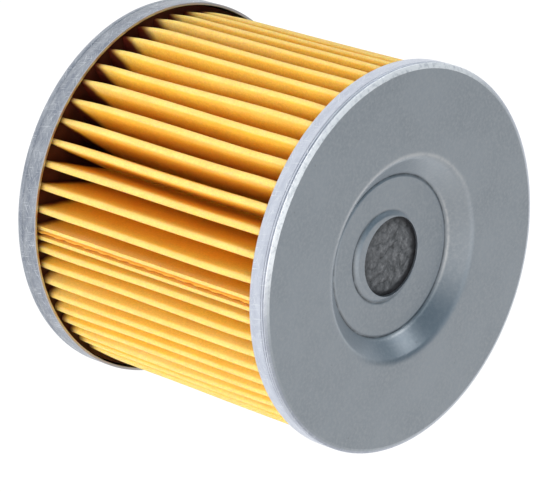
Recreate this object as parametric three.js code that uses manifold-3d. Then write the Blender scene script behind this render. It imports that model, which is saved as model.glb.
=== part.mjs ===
// Oil filter element: a pleated paper pack between two pressed steel end caps, round a perforated
// centre tube, with a rubber outlet grommet at the open end and a sprung bypass valve at the closed end.
// Millimetres. The axis is +Z, the open end stands on Z = 0 and the closed end is on top.

import * as THREE from "three";
import { mergeVertices } from "three/addons/utils/BufferGeometryUtils.js";
import Module from "manifold-3d";

const wasm = await Module();
wasm.setup();

// Driving dimensions
const OUTER_RADIUS = 33;
const LENGTH = 58.4;
const SHEET = 0.5; // thickness of the pressed caps
const CLEARANCE = 0.3; // gap kept between pieces that touch
const CAP_CORNER = 1.3; // outside radius of the caps' rolled corner
const CLOSED_SKIRT = 3.6; // height of each cap's skirt
const OPEN_SKIRT = 5.0;

// Recess and valve port in the closed cap
const RECESS_MOUTH_RADIUS = 17.5;
const RECESS_FLOOR_RADIUS = 14;
const RECESS_DEPTH = 3;
const PORT_RADIUS = 6.8;
const PORT_BOSS = { radius: 8.1, height: 0.4, x: 0.3, y: -1.3 }; // coined flat, struck off centre

// Outlet in the open cap
const DISH_MOUTH_RADIUS = 17.4;
const DISH_FLOOR_RADIUS = 16.2;
const DISH_DEPTH = 1.8;
const OUTLET_HOLE_RADIUS = 12.4;
const GROMMET_BORE_RADIUS = 10;

// Centre tube
const TUBE_INNER_RADIUS = 18.6;
const TUBE_OUTER_RADIUS = 19.1;
const TUBE_HOLE_RADIUS = 2.2;
const TUBE_HOLE_ROWS = 4;
const TUBE_HOLES_PER_ROW = 10;

// Pleated paper
const PAPER_THICKNESS = 0.6;
const PLEATS = 56;
const PLEAT_TIP_RADIUS = 31.9;
const PLEAT_ROOT_RADIUS = 19.6;
const FOLD_RADIUS = 0.34; // of the paper's middle layer
const SEAM_ANGLE = -63; // degrees from +X
const CROWDING = 0.134; // pleats are packed tighter just after the seam and looser just before it
const SEAM_GAP = 1.2; // width of the glue line between the paper's two ends
const GLUE_DEPTH = 1.7;

// Bypass valve
const SEAL_RADIUS = 8.6;
const SEAL_THICKNESS = 2;
const CAGE_RADIUS = 11;
const CAGE_FLANGE_RADIUS = 13;
const CAGE_DEPTH = 14;
const SPRING_RADIUS = 5.4;
const SPRING_WIRE = 0.9;
const SPRING_TURNS = 4.5;

// Heights worked out from the sizes above
const CLOSED_INSIDE = LENGTH - SHEET;
const RECESS_FLOOR = LENGTH - RECESS_DEPTH;
const RECESS_UNDERSIDE = RECESS_FLOOR - SHEET;
const SKIRT_INSIDE = OUTER_RADIUS - SHEET;
const GLUE_INNER_RADIUS = TUBE_OUTER_RADIUS + CLEARANCE;
const GLUE_OUTER_RADIUS = SKIRT_INSIDE - CLEARANCE;
const OPEN_GLUE = [SHEET + CLEARANCE, SHEET + CLEARANCE + GLUE_DEPTH];
const CLOSED_GLUE = [CLOSED_INSIDE - CLEARANCE - GLUE_DEPTH, CLOSED_INSIDE - CLEARANCE];
const PAPER_BOTTOM = OPEN_GLUE[1] + CLEARANCE;
const PAPER_TOP = CLOSED_GLUE[0] - CLEARANCE;
const SEAL_TOP = RECESS_UNDERSIDE - CLEARANCE;
const SEAL_BOTTOM = SEAL_TOP - SEAL_THICKNESS;
const CAGE_TOP = RECESS_UNDERSIDE - CLEARANCE;
const CAGE_BOTTOM = CAGE_TOP - CAGE_DEPTH;

const FINE = 60; // sides of the large round pieces
const COARSE = 40; // sides of the small ones

const finishes = {
  cap: { color: 0x8b939c, roughness: 0.42, metalness: 0.85 },
  tube: { color: 0x9aa0a6, roughness: 0.45, metalness: 0.85 },
  paper: { color: 0xf0a83c, roughness: 0.9, metalness: 0 },
  glue: { color: 0x4a2a12, roughness: 0.55, metalness: 0 },
  rubber: { color: 0x3a3d3d, roughness: 0.85, metalness: 0 },
  valveSteel: { color: 0xa3a8ac, roughness: 0.35, metalness: 0.9 },
  springSteel: { color: 0x6f7478, roughness: 0.3, metalness: 0.9 },
};

const group = new THREE.Group();

function addPiece(name, geometry, finish) {
  const mesh = new THREE.Mesh(geometry, new THREE.MeshStandardMaterial(finishes[finish]));
  mesh.name = name;
  group.add(mesh);
  return mesh;
}

// Keeps only the positions, with shared corners merged, so that the surface is closed.
function closedSurface(geometry) {
  const bare = geometry.clone();
  bare.deleteAttribute("normal");
  bare.deleteAttribute("uv");
  return mergeVertices(bare, 1e-4);
}

function toSolid(geometry) {
  const surface = closedSurface(geometry);
  return new wasm.Manifold(new wasm.Mesh({
    numProp: 3,
    vertProperties: new Float32Array(surface.attributes.position.array),
    triVerts: new Uint32Array(surface.index.array),
  }));
}

function fromSolid(solid) {
  const mesh = solid.getMesh();
  const geometry = new THREE.BufferGeometry();
  geometry.setAttribute("position", new THREE.Float32BufferAttribute(mesh.vertProperties, 3));
  geometry.setIndex(Array.from(mesh.triVerts));
  geometry.computeVertexNormals();
  return geometry;
}

// Turns a closed [radius, height] outline, listed anticlockwise, round the Z axis.
function turned(outline, sides) {
  const points = outline.map(([radius, height]) => new THREE.Vector2(radius, height));
  points.push(points[0].clone());
  return new THREE.LatheGeometry(points, sides).rotateX(Math.PI / 2);
}

// A round bar along Z, for drilling holes and raising bosses.
function bar(radius, bottom, top, sides) {
  const geometry = new THREE.CylinderGeometry(radius, radius, top - bottom, sides);
  return geometry.rotateX(Math.PI / 2).translate(0, 0, (bottom + top) / 2);
}

// Points on an arc in the outline plane, from one angle to another in degrees.
function arc(centreRadius, centreHeight, radius, from, to, steps) {
  return Array.from({ length: steps + 1 }, (_, step) => {
    const angle = THREE.MathUtils.degToRad(from + ((to - from) * step) / steps);
    return [centreRadius + radius * Math.cos(angle), centreHeight + radius * Math.sin(angle)];
  });
}

// Closed cap: skirt, rolled corner, flat face and a conical recess with the valve port in its floor.
function closedCap() {
  const skirtEdge = LENGTH - CLOSED_SKIRT;
  const cornerCentre = [OUTER_RADIUS - CAP_CORNER, LENGTH - CAP_CORNER];
  const recessInset = SHEET * 0.45; // sideways shift of the cone's inner skin
  const outline = [
    [SKIRT_INSIDE, skirtEdge],
    [OUTER_RADIUS, skirtEdge],
    ...arc(...cornerCentre, CAP_CORNER, 0, 90, 3),
    [RECESS_MOUTH_RADIUS + 0.5, LENGTH],
    [RECESS_MOUTH_RADIUS - 0.5, LENGTH - 0.4],
    [RECESS_FLOOR_RADIUS, RECESS_FLOOR],
    [PORT_RADIUS - 2, RECESS_FLOOR],
    [PORT_RADIUS - 2, RECESS_UNDERSIDE],
    [RECESS_FLOOR_RADIUS + recessInset, RECESS_UNDERSIDE],
    [RECESS_MOUTH_RADIUS + recessInset, CLOSED_INSIDE - 0.3],
    [RECESS_MOUTH_RADIUS + 0.6, CLOSED_INSIDE],
    ...arc(...cornerCentre, CAP_CORNER - SHEET, 90, 0, 2),
  ];
  const boss = bar(PORT_BOSS.radius, RECESS_FLOOR - SHEET / 2, RECESS_FLOOR + PORT_BOSS.height, COARSE);
  boss.translate(PORT_BOSS.x, PORT_BOSS.y, 0);
  const port = bar(PORT_RADIUS, RECESS_UNDERSIDE - 1, RECESS_FLOOR + 2, COARSE);
  return fromSolid(toSolid(turned(outline, FINE)).add(toSolid(boss)).subtract(toSolid(port)));
}

// Open cap: skirt, rolled corner, flat seating face and a shallow dish round the outlet hole.
function openCap() {
  const cornerCentre = [OUTER_RADIUS - CAP_CORNER, CAP_CORNER];
  const dishWall = SHEET * 0.6; // sideways shift of the dish wall's inner skin
  return turned([
    [OUTLET_HOLE_RADIUS, DISH_DEPTH],
    [DISH_FLOOR_RADIUS, DISH_DEPTH],
    [DISH_MOUTH_RADIUS, 0],
    ...arc(...cornerCentre, CAP_CORNER, -90, 0, 3),
    [OUTER_RADIUS, OPEN_SKIRT],
    [SKIRT_INSIDE, OPEN_SKIRT],
    ...arc(...cornerCentre, CAP_CORNER - SHEET, 0, -90, 2),
    [DISH_MOUTH_RADIUS + dishWall, SHEET],
    [DISH_FLOOR_RADIUS + dishWall, DISH_DEPTH + SHEET],
    [OUTLET_HOLE_RADIUS, DISH_DEPTH + SHEET],
  ], FINE);
}

// Rubber grommet: a lip outside the dish, a neck through the hole and a wider lip inside.
function outletGrommet() {
  const neck = OUTLET_HOLE_RADIUS - CLEARANCE;
  const outerLip = [0.2, DISH_DEPTH - CLEARANCE];
  const innerLip = [DISH_DEPTH + SHEET + CLEARANCE, DISH_DEPTH + SHEET + 2.2];
  return turned([
    [GROMMET_BORE_RADIUS + 0.6, outerLip[0]],
    [DISH_FLOOR_RADIUS - 1, outerLip[0]],
    [DISH_FLOOR_RADIUS - 0.6, outerLip[1]],
    [neck, outerLip[1]],
    [neck, innerLip[0]],
    [DISH_FLOOR_RADIUS - 1.6, innerLip[0]],
    [DISH_FLOOR_RADIUS - 2.6, innerLip[1]],
    [GROMMET_BORE_RADIUS + 0.8, innerLip[1]],
    [GROMMET_BORE_RADIUS, innerLip[1] - 1],
    [GROMMET_BORE_RADIUS, outerLip[0] + 0.8],
  ], COARSE);
}

// Centre tube: rolled sheet with staggered rows of round holes.
function centreTube() {
  const bottom = DISH_DEPTH + SHEET + CLEARANCE + 0.4;
  const top = CLOSED_INSIDE - CLEARANCE;
  let tube = toSolid(turned([
    [TUBE_INNER_RADIUS, bottom],
    [TUBE_OUTER_RADIUS, bottom],
    [TUBE_OUTER_RADIUS, top],
    [TUBE_INNER_RADIUS, top],
  ], FINE));
  const rowPitch = (top - bottom) / (TUBE_HOLE_ROWS + 0.5);
  for (let row = 0; row < TUBE_HOLE_ROWS; row += 1) {
    const height = bottom + rowPitch * (row + 0.75);
    for (let hole = 0; hole < TUBE_HOLES_PER_ROW; hole += 1) {
      const angle = (2 * Math.PI * (hole + (row % 2) / 2)) / TUBE_HOLES_PER_ROW;
      const drill = bar(TUBE_HOLE_RADIUS, TUBE_INNER_RADIUS - 2, TUBE_OUTER_RADIUS + 2, 8);
      drill.rotateY(Math.PI / 2).rotateZ(angle).translate(0, 0, height);
      tube = tube.subtract(toSolid(drill));
    }
  }
  return fromSolid(tube);
}

// Angle of each pleat's outer fold, in degrees. Pleat 0 is the seam.
function pleatAngle(pleat) {
  const share = pleat / PLEATS;
  return SEAM_ANGLE + 360 * share * (1 - CROWDING + CROWDING * share);
}

// A fold of the paper's middle layer: three points round a small circle, and the side that each faces.
function fold(angleDegrees, radius, outward) {
  const direction = THREE.MathUtils.degToRad(angleDegrees);
  const sense = outward ? 1 : -1;
  return [-60, 0, 60].map((turn) => {
    const facing = direction + THREE.MathUtils.degToRad(turn * sense) + (outward ? 0 : Math.PI);
    const centre = new THREE.Vector2(Math.cos(direction), Math.sin(direction));
    centre.multiplyScalar(radius - sense * (FOLD_RADIUS + PAPER_THICKNESS / 2));
    const away = new THREE.Vector2(Math.cos(facing), Math.sin(facing));
    return { centre, away, sense };
  });
}

// One end of the paper, standing up along the glue line on the side that is given as 1 or -1.
function paperEnd(side) {
  const direction = THREE.MathUtils.degToRad(SEAM_ANGLE);
  const away = new THREE.Vector2(-Math.sin(direction), Math.cos(direction)).multiplyScalar(side);
  const centre = new THREE.Vector2(Math.cos(direction), Math.sin(direction));
  centre.multiplyScalar(PLEAT_TIP_RADIUS - 0.4).addScaledVector(away, (SEAM_GAP + PAPER_THICKNESS) / 2);
  return { centre, away, sense: 0 };
}

// Paper pack: one strip folded into pleats from seam to seam, as an outline with both faces of the paper.
function pleatedPaper() {
  const strip = [];
  for (let pleat = 0; pleat < PLEATS; pleat += 1) {
    if (pleat > 0) strip.push(...fold(pleatAngle(pleat), PLEAT_TIP_RADIUS, true));
    const root = (pleatAngle(pleat) + pleatAngle(pleat + 1)) / 2;
    strip.push(...fold(root, PLEAT_ROOT_RADIUS, false));
  }
  const outside = [];
  const inside = [];
  for (const { centre, away, sense } of [paperEnd(1), ...strip, paperEnd(-1)]) {
    const near = FOLD_RADIUS - PAPER_THICKNESS / 2;
    const far = FOLD_RADIUS + PAPER_THICKNESS / 2;
    const reach = sense === 0 ? [PAPER_THICKNESS / 2, -PAPER_THICKNESS / 2] : [far, near];
    const outer = centre.clone().addScaledVector(away, reach[0]);
    const inner = centre.clone().addScaledVector(away, reach[1]);
    outside.push(sense < 0 ? inner : outer);
    inside.push(sense < 0 ? outer : inner);
  }
  const outline = new THREE.Shape([...outside, ...inside.reverse()]);
  const depth = PAPER_TOP - PAPER_BOTTOM;
  const geometry = new THREE.ExtrudeGeometry(outline, { depth, bevelEnabled: false });
  return geometry.translate(0, 0, PAPER_BOTTOM);
}

// Glue line that joins the two ends of the paper strip.
function seamGlue() {
  const width = SEAM_GAP - 2 * CLEARANCE;
  const [inner, outer] = [PLEAT_TIP_RADIUS - 6, PLEAT_TIP_RADIUS - 0.6];
  const geometry = new THREE.BoxGeometry(outer - inner, width, PAPER_TOP - PAPER_BOTTOM);
  geometry.translate((inner + outer) / 2, 0, (PAPER_TOP + PAPER_BOTTOM) / 2);
  return geometry.rotateZ(THREE.MathUtils.degToRad(SEAM_ANGLE));
}

// Ring of hardened glue that holds the paper's end in a cap.
function potting([bottom, top]) {
  return turned([
    [GLUE_INNER_RADIUS, bottom],
    [GLUE_OUTER_RADIUS - 0.8, bottom],
    [GLUE_OUTER_RADIUS, (bottom + top) / 2],
    [GLUE_OUTER_RADIUS, top],
    [GLUE_INNER_RADIUS, top],
  ], FINE);
}

// Rubber disc that closes the port from inside.
function valveSeal() {
  return turned([
    [0, SEAL_BOTTOM],
    [SEAL_RADIUS - 0.4, SEAL_BOTTOM],
    [SEAL_RADIUS, SEAL_BOTTOM + 0.4],
    [SEAL_RADIUS, SEAL_TOP - 0.4],
    [SEAL_RADIUS - 0.4, SEAL_TOP],
    [0, SEAL_TOP],
  ], COARSE);
}

// Steel cup behind the seal, whose skirt centres the spring.
function valvePlate() {
  const top = SEAL_BOTTOM - CLEARANCE;
  const cupDepth = 2.4;
  const cupRadius = SPRING_RADIUS + SPRING_WIRE / 2 + CLEARANCE;
  return turned([
    [0, top - 0.6],
    [cupRadius, top - 0.6],
    [cupRadius, top - cupDepth],
    [cupRadius + 0.6, top - cupDepth],
    [cupRadius + 0.6, top - 0.6],
    [SEAL_RADIUS + 0.2, top - 0.6],
    [SEAL_RADIUS + 0.2, top],
    [0, top],
  ], COARSE);
}

// Stamped cage welded under the recess floor: a flange, a wall with four windows and a floor with a drain.
function valveCage() {
  const wall = 0.6;
  const drainRadius = 3;
  let cage = toSolid(turned([
    [drainRadius, CAGE_BOTTOM],
    [CAGE_RADIUS - 1, CAGE_BOTTOM],
    [CAGE_RADIUS, CAGE_BOTTOM + 1],
    [CAGE_RADIUS, CAGE_TOP - wall],
    [CAGE_FLANGE_RADIUS, CAGE_TOP - wall],
    [CAGE_FLANGE_RADIUS, CAGE_TOP],
    [CAGE_RADIUS - wall, CAGE_TOP],
    [CAGE_RADIUS - wall, CAGE_BOTTOM + 1.2],
    [CAGE_RADIUS - 1.2, CAGE_BOTTOM + wall],
    [drainRadius, CAGE_BOTTOM + wall],
  ], COARSE));
  const windowSize = [CAGE_RADIUS * 3, 8, CAGE_DEPTH - 6];
  for (const angle of [Math.PI / 4, -Math.PI / 4]) {
    const slot = new THREE.BoxGeometry(...windowSize).rotateZ(angle);
    slot.translate(0, 0, (CAGE_TOP + CAGE_BOTTOM) / 2);
    cage = cage.subtract(toSolid(slot));
  }
  return fromSolid(cage);
}

// Compression spring between the cage floor and the cup.
function valveSpring() {
  const wireRadius = SPRING_WIRE / 2;
  const bottom = CAGE_BOTTOM + 0.6 + CLEARANCE + wireRadius;
  const top = SEAL_BOTTOM - CLEARANCE - 0.6 - CLEARANCE - wireRadius;
  const helix = new THREE.Curve();
  helix.getPoint = (share, target = new THREE.Vector3()) => {
    const angle = 2 * Math.PI * SPRING_TURNS * share;
    const rise = THREE.MathUtils.smootherstep(share, 0, 1) * 0.35 + share * 0.65;
    const height = bottom + (top - bottom) * rise;
    return target.set(SPRING_RADIUS * Math.cos(angle), SPRING_RADIUS * Math.sin(angle), height);
  };
  const section = new THREE.Shape();
  section.absarc(0, 0, wireRadius, 0, 2 * Math.PI);
  return new THREE.ExtrudeGeometry(section, {
    curveSegments: 6,
    steps: Math.round(SPRING_TURNS * 14),
    extrudePath: helix,
  });
}

addPiece("open_end_cap", openCap(), "cap");
addPiece("closed_end_cap", closedCap(), "cap");
addPiece("centre_tube", centreTube(), "tube");
addPiece("pleated_paper", pleatedPaper(), "paper");
addPiece("paper_seam_glue", seamGlue(), "glue");
addPiece("open_end_glue", potting(OPEN_GLUE), "glue");
addPiece("closed_end_glue", potting(CLOSED_GLUE), "glue");
addPiece("outlet_grommet", outletGrommet(), "rubber");
addPiece("valve_cage", valveCage(), "valveSteel");
addPiece("valve_spring", valveSpring(), "springSteel");
addPiece("valve_plate", valvePlate(), "valveSteel");
addPiece("valve_seal", valveSeal(), "rubber");

export default group;
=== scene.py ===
# %% [markdown]
# # A cartridge oil filter for a small engine
# The filter is a ring of yellow pleated paper between two pressed steel end caps. Oil enters through the
# pleats and leaves through a perforated centre tube. The closed cap has a recess for the housing's spring
# and a port with a rubber faced bypass valve behind it.
#
# The CAD model gives every size and place. Here each piece is remade with a finer mesh in the same space,
# and gets a procedural finish, so that it stands up to a close look.

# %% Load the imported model
import math

import bmesh
import bpy
import numpy as np
from mathutils import Matrix, Vector


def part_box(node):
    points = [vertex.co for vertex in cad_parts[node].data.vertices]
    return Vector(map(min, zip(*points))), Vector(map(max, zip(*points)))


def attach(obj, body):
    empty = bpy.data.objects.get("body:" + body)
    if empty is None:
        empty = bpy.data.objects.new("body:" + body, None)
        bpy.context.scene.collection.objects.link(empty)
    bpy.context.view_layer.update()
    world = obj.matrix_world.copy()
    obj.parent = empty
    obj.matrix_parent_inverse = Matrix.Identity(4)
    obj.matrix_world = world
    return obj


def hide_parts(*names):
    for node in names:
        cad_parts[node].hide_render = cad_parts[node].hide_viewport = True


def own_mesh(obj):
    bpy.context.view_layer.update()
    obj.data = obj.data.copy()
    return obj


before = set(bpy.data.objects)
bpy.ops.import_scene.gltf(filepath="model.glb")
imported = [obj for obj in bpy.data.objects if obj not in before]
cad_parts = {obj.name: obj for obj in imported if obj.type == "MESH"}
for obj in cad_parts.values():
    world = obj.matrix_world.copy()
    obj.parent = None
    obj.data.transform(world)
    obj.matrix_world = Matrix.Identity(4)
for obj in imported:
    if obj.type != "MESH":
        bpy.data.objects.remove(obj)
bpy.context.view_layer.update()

# %% [markdown]
# ## Sizes
# All shapes below are written in millimetres, because that is how sheet metal and paper are measured, and
# become metres only when a mesh is made. The main sizes are read from the CAD nodes' boxes, so the pieces
# follow the CAD model if it changes.

# %% Read the main sizes from the CAD nodes
MM = 0.001


def heights(node):
    """Lowest and highest point of a CAD node, in millimetres."""
    low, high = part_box(node)
    return low.z / MM, high.z / MM


def outer_radius(node):
    """Half of a CAD node's width, in millimetres."""
    low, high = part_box(node)
    return (high.x - low.x) / 2 / MM


SHEET = 0.5
skirt_low, length = heights("closed_end_cap")
open_skirt_top = heights("open_end_cap")[1]
radius = outer_radius("closed_end_cap")
paper_low, paper_high = heights("pleated_paper")
tip_radius = outer_radius("pleated_paper")
tube_low, tube_high = heights("centre_tube")
tube_radius = outer_radius("centre_tube")
print(f"filter {2 * radius:.1f} mm across, {length:.1f} mm long, paper {paper_high - paper_low:.1f} mm wide")

# %% [markdown]
# ## Camera
# The filter lies on its side in the view, with its closed end towards the lens. The model itself stands on
# its open end, so the camera is rolled instead: it looks down at about 40 degrees and its own right hand
# points up along the filter. A long lens from half a metre away keeps the two caps nearly the same size.

# %% Place the camera
elevation = math.radians(40.3)
roll = math.radians(107.88)
aim = Vector((0.00428, 0.0, 0.03086))
distance = 0.5347

backward = Vector((0, -math.cos(elevation), math.sin(elevation)))
level_right = Vector((1, 0, 0))
level_up = backward.cross(level_right)
right = level_right * math.cos(roll) + level_up * math.sin(roll)
up = backward.cross(right)

camera = bpy.data.objects.new("camera", bpy.data.cameras.new("camera"))
bpy.context.scene.collection.objects.link(camera)
turn = Matrix((right, up, backward)).transposed()
camera.matrix_world = Matrix.Translation(aim + backward * distance) @ turn.to_4x4()
camera.data.sensor_width = 36
camera.data.lens = 206.7
camera.data.clip_start = 0.01
bpy.context.scene.camera = camera
print("camera at", [round(x, 4) for x in camera.matrix_world.translation])

# %% [markdown]
# ## Node tools
# Blender describes a finish or a light as a tree of nodes joined by links. Joining them by hand works for
# one finish, but the same few steps come back in all of them, so each step is a helper here.

# %% Node tools
def shader_tree(owner):
    """Empties the node tree of a material or world and returns it."""
    owner.use_nodes = True
    owner.node_tree.nodes.clear()
    return owner.node_tree


def add_node(tree, kind, settings=None, **inputs):
    """Adds a node. Inputs are linked when they are sockets, and set when they are values."""
    node = tree.nodes.new(kind)
    for key, value in (settings or {}).items():
        setattr(node, key, value)
    for key, value in inputs.items():
        socket = node.inputs[key.replace("_", " ")]
        if isinstance(value, bpy.types.NodeSocket):
            tree.links.new(value, socket)
        else:
            socket.default_value = value
    return node


def colour_ramp(tree, factor, stops):
    """A colour ramp with (position, colour) stops. A single number makes a grey."""
    node = add_node(tree, "ShaderNodeValToRGB", Fac=factor)
    elements = node.color_ramp.elements
    while len(elements) < len(stops):
        elements.new(0.5)
    for element, (position, colour) in zip(elements, stops):
        element.position = position
        element.color = (*colour, 1) if isinstance(colour, tuple) else (colour, colour, colour, 1)
    return node.outputs["Color"]


def maths(tree, operation, first, second=None, third=None, clamp=False):
    """One step of arithmetic on sockets or numbers."""
    node = add_node(tree, "ShaderNodeMath", {"operation": operation, "use_clamp": clamp})
    for socket, value in zip(node.inputs, (first, second, third)):
        if isinstance(value, bpy.types.NodeSocket):
            tree.links.new(value, socket)
        elif value is not None:
            socket.default_value = value
    return node.outputs[0]


def blend_colours(tree, factor, first, second, mode="MIX"):
    """Mixes two colours, each a socket or an (r, g, b)."""
    node = add_node(tree, "ShaderNodeMix", {"data_type": "RGBA", "blend_type": mode})
    for socket, value in zip((node.inputs[0], node.inputs[6], node.inputs[7]), (factor, first, second)):
        if isinstance(value, bpy.types.NodeSocket):
            tree.links.new(value, socket)
        else:
            socket.default_value = (*value, 1) if isinstance(value, tuple) else value
    return node.outputs[2]


def feed(tree, shader, **sockets):
    """Links sockets to a shader's inputs, which are named with _ for a space."""
    for name, value in sockets.items():
        tree.links.new(value, shader.inputs[name.replace("_", " ")])


print("node tools are ready")

# %% [markdown]
# ## Studio
# Bare steel shows whatever is around it, so the room matters as much as the metal. Lit by lamps alone it
# would show bright squares on black. Here the sky does most of the work: white at and below the horizon,
# grey higher up, with one dim patch like the black flags that are hung up in a studio to darken metal. Two
# soft lamps light the paper and stay out of the metal, and a small third one gives the rim its glint. The
# floor is a plain white table, lit from within and far below, so that it never hides the open end.

# %% Sky, floor and lamps
def studio_sky():
    """White below the horizon, as on a lit table, and grey above it, with one dim patch for a dark flag."""
    world = bpy.data.worlds.new("studio")
    bpy.context.scene.world = world
    tree = shader_tree(world)
    place = add_node(tree, "ShaderNodeTexCoord")
    upward = add_node(tree, "ShaderNodeSeparateXYZ")
    tree.links.new(place.outputs["Generated"], upward.inputs[0])
    share = maths(tree, "MULTIPLY_ADD", upward.outputs["Z"], 0.5, 0.5)
    shade = colour_ramp(tree, share, SKY_STOPS)
    facing = add_node(tree, "ShaderNodeVectorMath", {"operation": "DOT_PRODUCT"})
    tree.links.new(place.outputs["Generated"], facing.inputs[0])
    facing.inputs[1].default_value = FLAG_DIRECTION
    flag = colour_ramp(tree, facing.outputs["Value"], FLAG_STOPS)
    shade = blend_colours(tree, 1.0, shade, flag, "MULTIPLY")
    background = add_node(tree, "ShaderNodeBackground", Color=shade, Strength=1)
    output = add_node(tree, "ShaderNodeOutputWorld")
    tree.links.new(background.outputs[0], output.inputs["Surface"])


def lit_floor():
    """A plain white table that glows as brightly as the sky beside it. It isn't part of the filter."""
    mesh = bpy.data.meshes.new("floor")
    corners = [(-1, -1), (1, -1), (1, 1), (-1, 1)]
    half = FLOOR_WIDTH / 2
    mesh.from_pydata([(half * x, half * y, FLOOR_HEIGHT) for x, y in corners], [], [(0, 1, 2, 3)])
    material = bpy.data.materials.new("floor")
    tree = shader_tree(material)
    glow = add_node(tree, "ShaderNodeEmission", Color=(1, 1, 1, 1), Strength=WHITE)
    output = add_node(tree, "ShaderNodeOutputMaterial")
    tree.links.new(glow.outputs[0], output.inputs["Surface"])
    mesh.materials.append(material)
    floor = bpy.data.objects.new("floor", mesh)
    bpy.context.scene.collection.objects.link(floor)


def soft_lamp(name, direction, metres, size, watts, colour, mirrored=False):
    """A square lamp in the given direction from the filter, aimed at its middle.
    Unless it is mirrored, it lights the paper but doesn't show as a bright square in the metal."""
    lamp = bpy.data.lights.new(name, "AREA")
    lamp.size, lamp.energy, lamp.color = size, watts, colour
    stand = bpy.data.objects.new(name, lamp)
    stand.visible_glossy = mirrored
    bpy.context.scene.collection.objects.link(stand)
    towards = Vector(direction).normalized()
    stand.location = towards * metres + Vector((0, 0, length * MM / 2))
    stand.rotation_euler = towards.to_track_quat("Z", "Y").to_euler()


WHITE = 1.06
SKY_STOPS = [
    (0, WHITE), (0.46, WHITE), (0.5, 0.95), (0.575, 0.85), (0.70, 0.54), (0.85, 0.46), (0.93, 0.66), (1, 0.82)
]
FLOOR_WIDTH = 5.0
FLOOR_HEIGHT = -0.7
FLAG_DIRECTION = (-0.78, 0, 0.62)
FLAG_STOPS = [(0.45, (1, 1, 1)), (0.82, (0.22, 0.31, 0.38))]
studio_sky()
lit_floor()
soft_lamp("key_lamp", (-0.80, -0.28, 0.55), 1.1, 0.7, 6.3, (1.0, 0.985, 0.96))
soft_lamp("fill_lamp", (0.35, -0.85, 0.45), 1.3, 0.9, 19, (1.0, 0.98, 0.96))
soft_lamp("glint_lamp", (-0.83, 0.18, 0.53), 1.1, 0.18, 0.5, (1.0, 1.0, 1.0), mirrored=True)
bpy.context.scene.view_settings.view_transform = "Standard"
bpy.context.scene.view_settings.look = "None"
print(f"sky, three lamps and a floor {-FLOOR_HEIGHT:.1f} m below the filter are ready")

# %% [markdown]
# ## Tools for turned pieces
# Most of the filter is round. A lathe shape starts as a short list of corners, each with the radius that
# the press or the mould leaves there. Real edges are never perfectly sharp, and those small radii catch
# the light, so they are part of the shape and not of the shading.

# %% Outline and turning tools
def rounded(corners, steps=6):
    """An outline from (radius, height, fillet) corners in millimetres. A fillet of 0 keeps a sharp corner."""
    outline = []
    for index, (across, height, fillet) in enumerate(corners):
        here = np.array([across, height], float)
        if fillet == 0:
            outline.append(here)
            continue
        before = np.array(corners[index - 1][:2], float) - here
        after = np.array(corners[(index + 1) % len(corners)][:2], float) - here
        before /= np.linalg.norm(before)
        after /= np.linalg.norm(after)
        half = math.acos(np.clip(before @ after, -1, 1)) / 2
        middle = (before + after) / np.linalg.norm(before + after)
        centre = here + middle * fillet / math.sin(half)
        start = here + before * fillet / math.tan(half) - centre
        end = here + after * fillet / math.tan(half) - centre
        first = math.atan2(start[1], start[0])
        sweep = (math.atan2(end[1], end[0]) - first + math.pi) % (2 * math.pi) - math.pi
        for angle in first + sweep * np.linspace(0, 1, steps + 1):
            outline.append(centre + fillet * np.array([math.cos(angle), math.sin(angle)]))
    return np.array(outline)


def turned(outline, sides):
    """Turns a closed (radius, height) outline round the axis. Returns points and quads."""
    angles = np.linspace(0, 2 * math.pi, sides, endpoint=False)
    across, height = outline[:, :1], outline[:, 1:]
    points = np.stack(
        [across * np.cos(angles), across * np.sin(angles), np.repeat(height, sides, axis=1)], axis=-1
    )
    return points.reshape(-1, 3), grid_quads(len(outline), sides, True, True)


def grid_quads(rows, columns, rows_close, columns_close):
    """Quads of a grid of points, whose rows and columns may each close on themselves."""
    row = np.arange(rows if rows_close else rows - 1)[:, None]
    column = np.arange(columns if columns_close else columns - 1)[None, :]
    next_row, next_column = (row + 1) % rows, (column + 1) % columns
    corners = [row * columns + column, row * columns + next_column]
    corners += [next_row * columns + next_column, next_row * columns + column]
    return np.stack(np.broadcast_arrays(*corners), axis=-1).reshape(-1, 4)


def add_piece(name, points, faces, finish, body, node, crease=40, marks=None):
    """Makes a mesh piece from millimetre points, which stands for a CAD node and rides on its body.
    marks are named values for each point, which a finish can read."""
    mesh = bpy.data.meshes.new(name)
    mesh.from_pydata((np.asarray(points) * MM).tolist(), [], [list(map(int, face)) for face in faces])
    for mark, values in (marks or {}).items():
        mesh.attributes.new(mark, "FLOAT", "POINT").data.foreach_set("value", values.astype(np.float32))
    bm = bmesh.new()
    bm.from_mesh(mesh)
    bmesh.ops.remove_doubles(bm, verts=bm.verts, dist=0.002 * MM)
    bmesh.ops.recalc_face_normals(bm, faces=bm.faces)
    bm.to_mesh(mesh)
    bm.free()
    mesh.polygons.foreach_set("use_smooth", [True] * len(mesh.polygons))
    mesh.set_sharp_from_angle(angle=math.radians(crease))
    mesh.materials.append(finish)
    piece = bpy.data.objects.new(name, mesh)
    bpy.context.scene.collection.objects.link(piece)
    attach(piece, body)
    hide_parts(node)
    print(f"{name}: {len(mesh.vertices)} points, {len(mesh.polygons)} faces")
    return piece


def smooth_step(value, start, end):
    """0 before start, 1 after end, and a smooth rise between them."""
    share = np.clip((value - start) / (end - start), 0, 1)
    return share * share * (3 - 2 * share)


def bell(value, middle, width):
    """1 at the middle and falling smoothly to 0 on both sides."""
    return np.exp(-(((value - middle) / width) ** 2))


print("turning tools are ready")

# %% [markdown]
# ## Tools for finishes
# Every finish is built from noise, ramps and bump. The noise is laid out in the filter's own space, so a
# speck stays the same size on every piece, and sizes are given in millimetres.

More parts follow.
